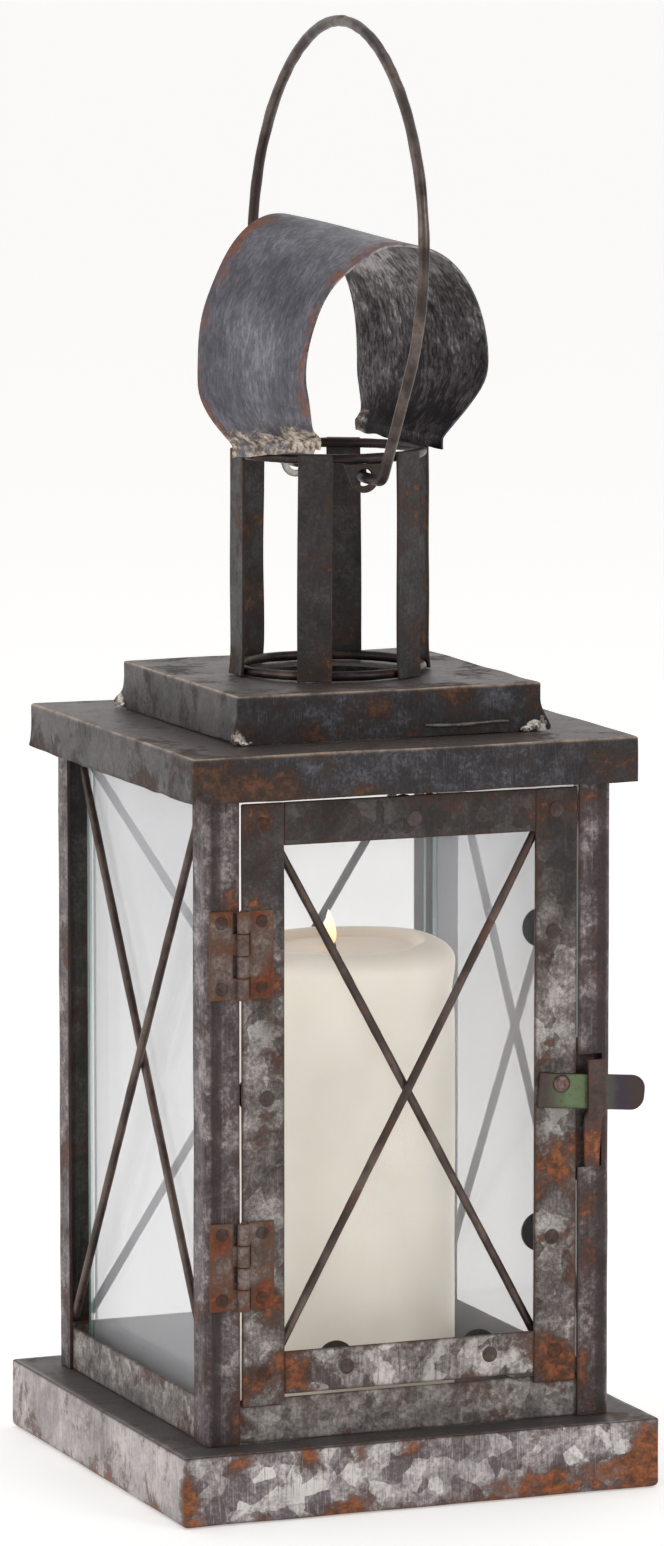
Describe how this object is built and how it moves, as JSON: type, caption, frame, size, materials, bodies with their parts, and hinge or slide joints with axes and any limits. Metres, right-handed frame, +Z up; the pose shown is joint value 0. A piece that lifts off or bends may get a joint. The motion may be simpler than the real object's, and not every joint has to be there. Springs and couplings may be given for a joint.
{
  "type": "candle lantern",
  "caption": "Square sheet-metal candle lantern with glass sides, a hinged latching front door, a stepped roof, a caged chimney under a rolled smoke hood, and a swinging wire bail.",
  "frame": {"origin": "middle of the square footprint, on the surface that the lantern stands on", "axes": "+Z up; the door and its latch face -Y, the hinges are on the -X side and the latch on the +X side"},
  "size_m": [0.165, 0.165, 0.4747],
  "materials": {
    "galvanized": "weathered galvanized sheet with rust stains",
    "roof_sheet": "dark aged galvanized sheet with rust at the edges",
    "hood_sheet": "blue-grey brushed sheet with rust along the rims",
    "dark_wire": "dark oxidised round wire",
    "dark_strap": "dark oxidised flat strap",
    "rusty_hinge": "rusted butt hinge and rivet",
    "latch_steel": "aged flat steel with a green-grey patina",
    "glass": "clear sheet glass",
    "wax": "ivory candle wax",
    "wick": "charred cotton"
  },
  "bodies": {
    "lantern": {"base_tray": "galvanized", "post_front_left": "galvanized", "post_front_right": "galvanized", "post_back_right": "galvanized", "post_back_left": "galvanized", "rail_front": "galvanized", "rail_right": "galvanized", "rail_back": "galvanized", "rail_left": "galvanized", "top_frame": "galvanized", "latch_slot_backing": "galvanized", "lid": "roof_sheet", "cap": "roof_sheet", "smoke_hood": "hood_sheet", "ring_lower": "dark_wire", "ring_upper": "dark_wire", "right_rod_rising": "dark_wire", "right_rod_falling": "dark_wire", "back_rod_rising": "dark_wire", "back_rod_falling": "dark_wire", "left_rod_rising": "dark_wire", "left_rod_falling": "dark_wire", "chimney_strip_1": "dark_strap", "chimney_strip_2": "dark_strap", "chimney_strip_3": "dark_strap", "chimney_strip_4": "dark_strap", "chimney_strip_5": "dark_strap", "chimney_strip_6": "dark_strap", "bail_lug_front": "dark_strap", "bail_lug_back": "dark_strap", "hinge_upper_post_leaf": "rusty_hinge", "hinge_upper_pin": "rusty_hinge", "hinge_lower_post_leaf": "rusty_hinge", "hinge_lower_pin": "rusty_hinge", "latch_keeper": "latch_steel", "glass_right": "glass", "glass_back": "glass", "glass_left": "glass", "candle": "wax", "wick": "wick"},
    "door": {"door_stile_left": "galvanized", "door_stile_right": "galvanized", "door_rail_top": "galvanized", "door_rail_bottom": "galvanized", "door_rod_rising": "dark_wire", "door_rod_falling": "dark_wire", "glass_clip_right_upper": "dark_strap", "glass_clip_right_lower": "dark_strap", "glass_clip_left": "dark_strap", "glass_clip_bottom_left": "dark_strap", "glass_clip_bottom_right": "dark_strap", "glass_clip_top": "dark_strap", "hinge_upper_door_leaf": "rusty_hinge", "hinge_lower_door_leaf": "rusty_hinge", "latch_rivet": "rusty_hinge", "glass_door": "glass"},
    "latch": {"latch_bar": "latch_steel"},
    "bail": {"bail_handle": "dark_wire"}
  },
  "joints": [
    {"name": "door_hinge", "type": "hinge", "parent": "lantern", "child": "door", "pos_m": [-0.0582, -0.0723, 0.1312], "axis": [0, 0, -1], "range_deg": [0, 170]},
    {"name": "latch_pivot", "type": "hinge", "parent": "door", "child": "latch", "pos_m": [0.0519, -0.0711, 0.1332], "axis": [0, -1, 0], "range_deg": [0, 88]},
    {"name": "bail_swing", "type": "hinge", "parent": "lantern", "child": "bail", "pos_m": [0, 0, 0.3275], "axis": [0, 1, 0], "range_deg": [-130, 128]}
  ]
}
